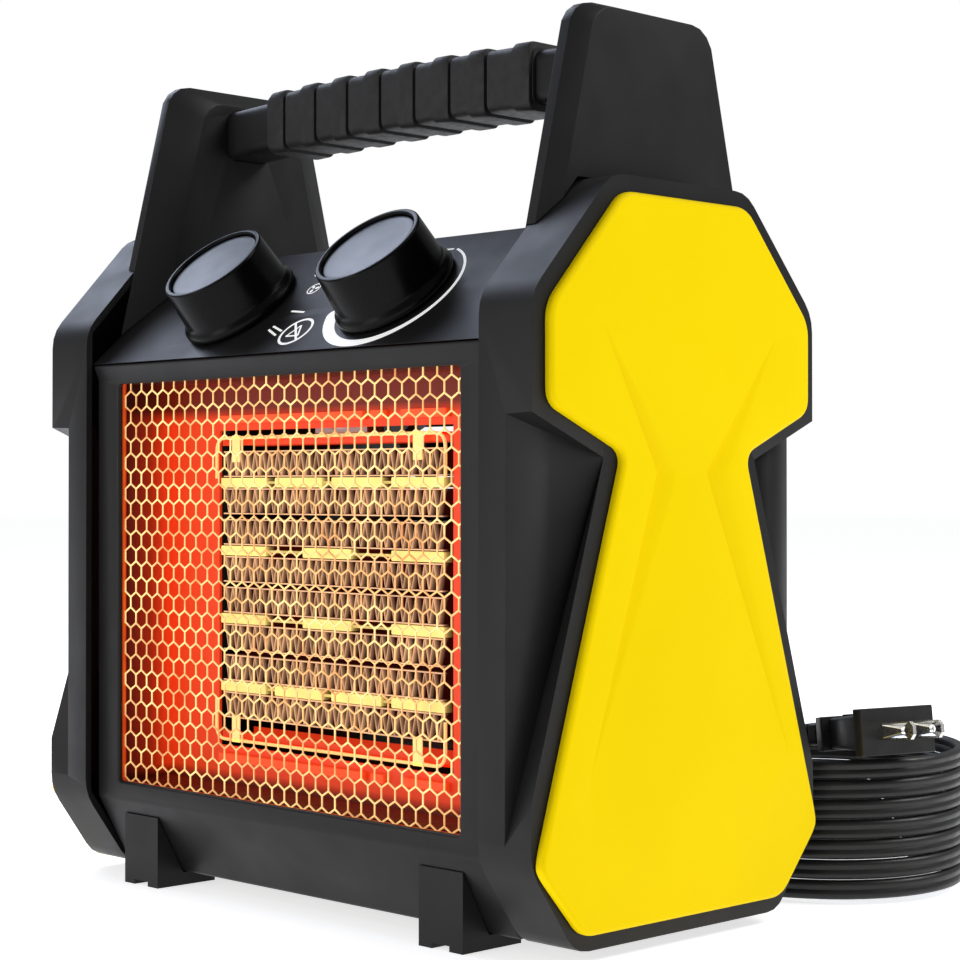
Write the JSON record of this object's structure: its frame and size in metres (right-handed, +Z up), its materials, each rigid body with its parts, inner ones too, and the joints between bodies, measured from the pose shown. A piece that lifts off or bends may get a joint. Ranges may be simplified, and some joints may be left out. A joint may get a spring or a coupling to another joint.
{
  "type": "ceramic space heater",
  "caption": "Upright ceramic fan heater with black and yellow side shells, carry handle between two towers, two dials on a sloped panel, hex outlet mesh, and a coiled mains lead.",
  "frame": {"origin": "on the floor under the centre of the casing, level with the undersides of the feet", "axes": "+Z up, -Y out of the hot-air outlet, +X to the right of a viewer who faces the outlet"},
  "size_m": [0.2941, 0.2487, 0.305],
  "materials": {
    "black_plastic": "moulded black plastic, fine grain",
    "yellow_plastic": "satin yellow plastic",
    "grip_rubber": "soft matt grip",
    "mesh_wire": "hexagonal wire mesh, lit by the element",
    "duct_metal": "metal duct, glowing red-orange in use",
    "ptc_ceramic": "pale ceramic plates",
    "fin_aluminium": "thin folded aluminium",
    "heatproof_plastic": "pale heat-proof moulding",
    "steel": "zinc-plated steel",
    "fan_plastic": "grey moulded fan",
    "cap_plastic": "smooth bluish-grey disc",
    "brass": "plated brass",
    "cord_rubber": "black vinyl sheath"
  },
  "bodies": {
    "casing": {"front_bezel": "black_plastic", "control_panel": "black_plastic", "rear_cover": "black_plastic", "rear_grille": "black_plastic", "base_pan": "black_plastic", "right_side_shell": "black_plastic", "left_side_shell": "black_plastic", "right_side_panel": "yellow_plastic", "left_side_panel": "yellow_plastic", "right_tower": "black_plastic", "left_tower": "black_plastic", "handle_core": "black_plastic", "handle_grip": "grip_rubber", "foot_front_right": "black_plastic", "foot_front_left": "black_plastic", "foot_rear_right": "black_plastic", "foot_rear_left": "black_plastic", "outlet_mesh": "mesh_wire", "outlet_duct": "duct_metal", "ptc_plate_row_1": "ptc_ceramic", "fin_strip_1": "fin_aluminium", "fin_strip_2": "fin_aluminium", "ptc_plate_row_2": "ptc_ceramic", "fin_strip_3": "fin_aluminium", "fin_strip_4": "fin_aluminium", "ptc_plate_row_3": "ptc_ceramic", "fin_strip_5": "fin_aluminium", "fin_strip_6": "fin_aluminium", "ptc_plate_row_4": "ptc_ceramic", "fin_strip_7": "fin_aluminium", "fin_strip_8": "fin_aluminium", "element_rail_top": "heatproof_plastic", "element_rail_bottom": "heatproof_plastic", "thermal_cutoff": "steel", "fan_shroud": "black_plastic", "fan_motor": "steel", "motor_bracket": "steel", "mode_switch": "heatproof_plastic", "thermostat": "steel", "tip_over_switch": "black_plastic", "terminal_block": "heatproof_plastic", "rear_screw_1": "steel", "rear_screw_2": "steel", "rear_screw_3": "steel", "rear_screw_4": "steel", "cord_gland": "cord_rubber", "cord_lead": "cord_rubber", "cord_coil": "cord_rubber", "cord_tail": "cord_rubber", "plug_body": "cord_rubber", "plug_blade_left": "brass", "plug_blade_right": "brass"},
    "mode_dial": {"mode_knob": "black_plastic", "mode_knob_cap": "cap_plastic", "mode_shaft": "brass"},
    "thermostat_dial": {"thermostat_knob": "black_plastic", "thermostat_knob_cap": "cap_plastic", "thermostat_shaft": "brass"},
    "fan": {"fan_rotor": "fan_plastic"},
    "tip_over_plunger": {"tip_over_plunger": "heatproof_plastic"}
  },
  "joints": [
    {"name": "mode_turn", "type": "hinge", "parent": "casing", "child": "mode_dial", "pos_m": [-0.0418, -0.04579, 0.2133], "axis": [0, -0.662, 0.7495], "range_deg": [-60, 0]},
    {"name": "thermostat_turn", "type": "hinge", "parent": "casing", "child": "thermostat_dial", "pos_m": [0.0418, -0.04579, 0.2133], "axis": [0, -0.662, 0.7495], "range_deg": [-235, 0]},
    {"name": "fan_spin", "type": "hinge", "parent": "casing", "child": "fan", "pos_m": [0, 0.008, 0.112], "axis": [0, 1, 0], "continuous": true},
    {"name": "plunger_slide", "type": "slide", "parent": "casing", "child": "tip_over_plunger", "axis": [0, 0, 1], "range_m": [-0.004, 0], "stiffness_N_per_m": 100, "springref_m": -0.006}
  ]
}
